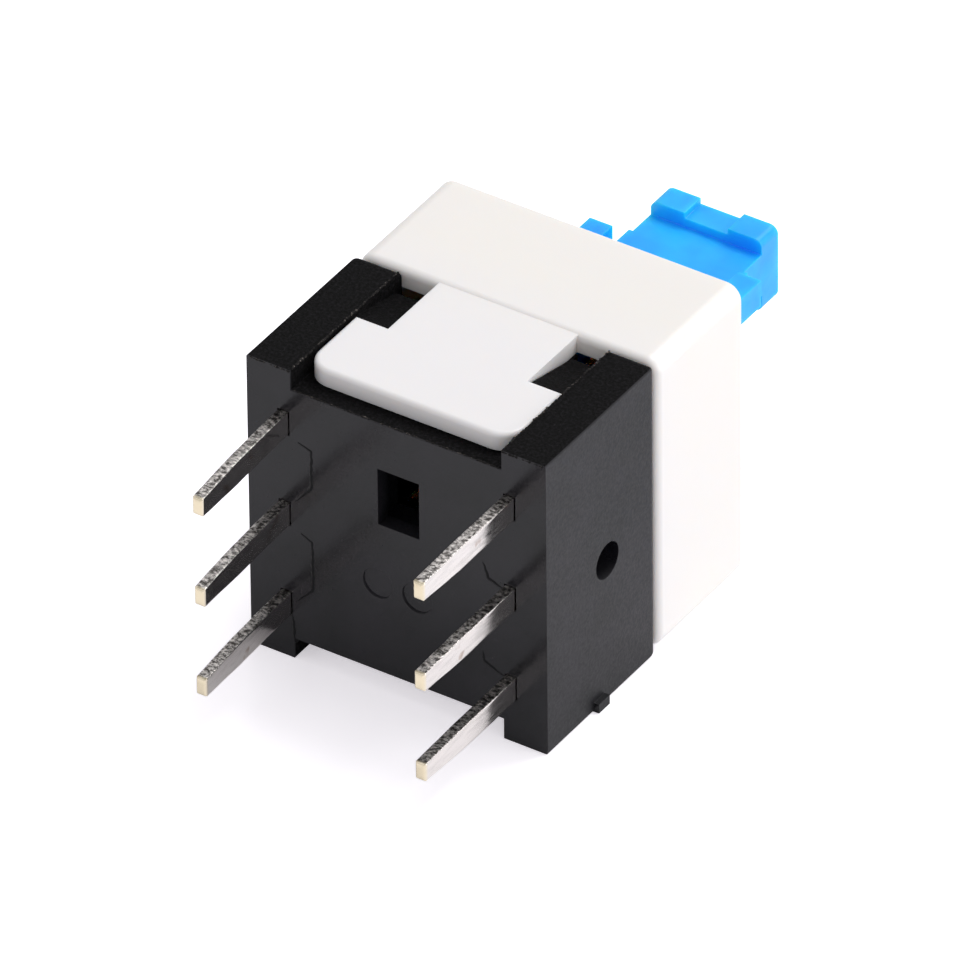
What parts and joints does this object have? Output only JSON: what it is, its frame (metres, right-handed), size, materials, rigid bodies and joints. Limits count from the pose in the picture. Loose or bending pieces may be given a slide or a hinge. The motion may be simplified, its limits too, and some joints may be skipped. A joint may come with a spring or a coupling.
{
  "type": "pushbutton switch",
  "caption": "Small square latching pushbutton for a circuit board: black base with two rows of pins, white clip-on housing, blue button stem.",
  "frame": {"origin": "centre of the board seat, the face of the base that the six pins stand out of", "axes": "+Y from the board seat to the button's end, +X across the two pin rows, +Z along a row; the switch lies on its -Z side"},
  "size_m": [0.0081, 0.0173, 0.008],
  "materials": {
    "black_plastic": "fine-grained moulded black, semi-matt",
    "ivory_plastic": "smooth moulded ivory white, slightly translucent",
    "blue_plastic": "bright blue moulding, slightly translucent",
    "tinned_brass": "tinned sheared strip, brass showing at the tips",
    "spring_steel": "bright drawn wire and strip",
    "contact_bronze": "bright rolled strip"
  },
  "bodies": {
    "body": {"base": "black_plastic", "housing": "ivory_plastic", "latch_spring": "spring_steel", "return_spring": "spring_steel", "terminal_left_top": "tinned_brass", "terminal_left_middle": "tinned_brass", "terminal_left_bottom": "tinned_brass", "terminal_right_top": "tinned_brass", "terminal_right_middle": "tinned_brass", "terminal_right_bottom": "tinned_brass"},
    "slider": {"plunger": "blue_plastic", "contact_left": "contact_bronze", "contact_right": "contact_bronze"},
    "latch": {"latch_pin": "spring_steel"}
  },
  "joints": [
    {"name": "plunger_press", "type": "slide", "parent": "body", "child": "slider", "axis": [0, -1, 0], "range_m": [0, 0.0022], "stiffness_N_per_m": 10, "springref_m": -0.0005, "deforming": ["return_spring"]},
    {"name": "latch_swing", "type": "hinge", "parent": "body", "child": "latch", "pos_m": [0, 0.0019, 0.00255], "axis": [0, 0, -1], "range_deg": [0, 13]}
  ],
  "couplings": [
    {"joint": "latch_swing", "follows": "plunger_press", "rad_per_m": 99.6}
  ]
}
